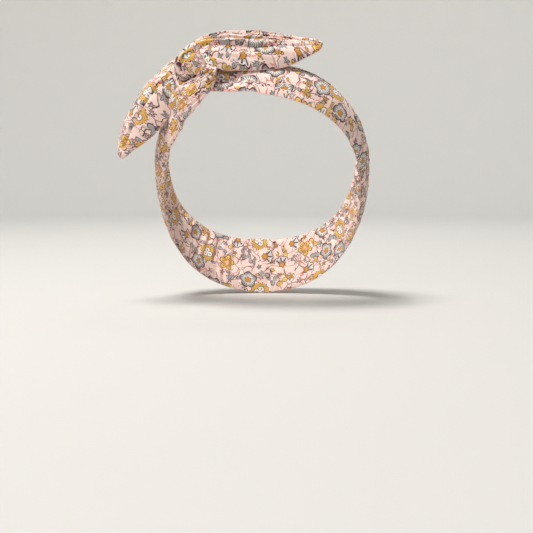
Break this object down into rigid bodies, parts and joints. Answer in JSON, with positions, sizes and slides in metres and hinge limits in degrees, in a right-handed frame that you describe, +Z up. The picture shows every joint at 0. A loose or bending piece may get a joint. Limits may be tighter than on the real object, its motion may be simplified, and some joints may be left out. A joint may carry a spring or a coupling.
{
  "type": "wired twist headband",
  "caption": "Flat cotton tube headband with a bendable wire inside, worn round the head, with its ends twisted together above one temple and splayed as two tails.",
  "frame": {"origin": "centre of the wearer's head at temple height, in the middle of the loop", "axes": "+Z up, the wearer faces -Y, +X is the wearer's left; the loop leans back from the crown to the nape"},
  "size_m": [0.2019, 0.1518, 0.2156],
  "materials": {
    "printed_cotton": "matte woven cotton with a small floral print",
    "cotton_lining": "matte woven cotton with a small floral print",
    "thread": "matte",
    "wire": "satin",
    "wire_sheath": "matte",
    "wire_sleeve": "gloss"
  },
  "bodies": {
    "band": {"band_crown_face_panel": "printed_cotton", "band_crown_lining_panel": "cotton_lining", "band_left_seam_thread": "thread", "band_left_side_face_panel": "printed_cotton", "band_left_side_lining_panel": "cotton_lining", "band_left_top_face_panel": "printed_cotton", "band_left_top_lining_panel": "cotton_lining", "band_left_wrap_face_panel": "printed_cotton", "band_left_wrap_lining_panel": "cotton_lining", "band_nape_face_panel": "printed_cotton", "band_nape_lining_panel": "cotton_lining", "band_nape_seam_thread": "thread", "band_right_seam_thread": "thread", "band_right_side_face_panel": "printed_cotton", "band_right_side_lining_panel": "cotton_lining", "band_right_top_face_panel": "printed_cotton", "band_right_top_lining_panel": "cotton_lining", "band_right_wrap_face_panel": "printed_cotton", "band_right_wrap_lining_panel": "cotton_lining", "band_wire_core": "wire", "band_wire_sheath": "wire_sheath", "turning_gap_slip_stitches": "thread"},
    "lower_tail_base": {"lower_tail_base_face_panel": "printed_cotton", "lower_tail_base_lining_panel": "cotton_lining", "lower_tail_base_seam_thread": "thread", "lower_tail_base_wire_core": "wire", "lower_tail_base_wire_sheath": "wire_sheath"},
    "lower_tail_tip": {"lower_tail_tip_face_panel": "printed_cotton", "lower_tail_tip_lining_panel": "cotton_lining", "lower_tail_tip_seam_thread": "thread", "lower_tail_tip_tack": "thread", "lower_tail_tip_wire_core": "wire", "lower_tail_tip_wire_end_sleeve": "wire_sleeve", "lower_tail_tip_wire_sheath": "wire_sheath"},
    "upper_tail_base": {"upper_tail_base_face_panel": "printed_cotton", "upper_tail_base_lining_panel": "cotton_lining", "upper_tail_base_seam_thread": "thread", "upper_tail_base_wire_core": "wire", "upper_tail_base_wire_sheath": "wire_sheath"},
    "upper_tail_tip": {"upper_tail_tip_face_panel": "printed_cotton", "upper_tail_tip_lining_panel": "cotton_lining", "upper_tail_tip_seam_thread": "thread", "upper_tail_tip_tack": "thread", "upper_tail_tip_wire_core": "wire", "upper_tail_tip_wire_end_sleeve": "wire_sleeve", "upper_tail_tip_wire_sheath": "wire_sheath"}
  },
  "joints": [
    {"name": "lower_tail_root", "type": "hinge", "parent": "band", "child": "lower_tail_base", "pos_m": [-0.06193, -0.03302, 0.09736], "axis": [-0.1548, 0.8202, 0.5508], "range_deg": [0, 28]},
    {"name": "lower_tail_fold", "type": "hinge", "parent": "lower_tail_base", "child": "lower_tail_tip", "pos_m": [-0.088, -0.031, 0.074], "axis": [-0.4843, 0.7789, 0.3985], "range_deg": [-6, 60]},
    {"name": "upper_tail_root", "type": "hinge", "parent": "band", "child": "upper_tail_base", "pos_m": [-0.03941, -0.05232, 0.11181], "axis": [0.1241, -0.6855, -0.7174], "range_deg": [0, 60]},
    {"name": "upper_tail_fold", "type": "hinge", "parent": "upper_tail_base", "child": "upper_tail_tip", "pos_m": [0.002, -0.049, 0.1105], "axis": [0.0018, -0.6222, -0.7829], "range_deg": [-4, 60]}
  ]
}
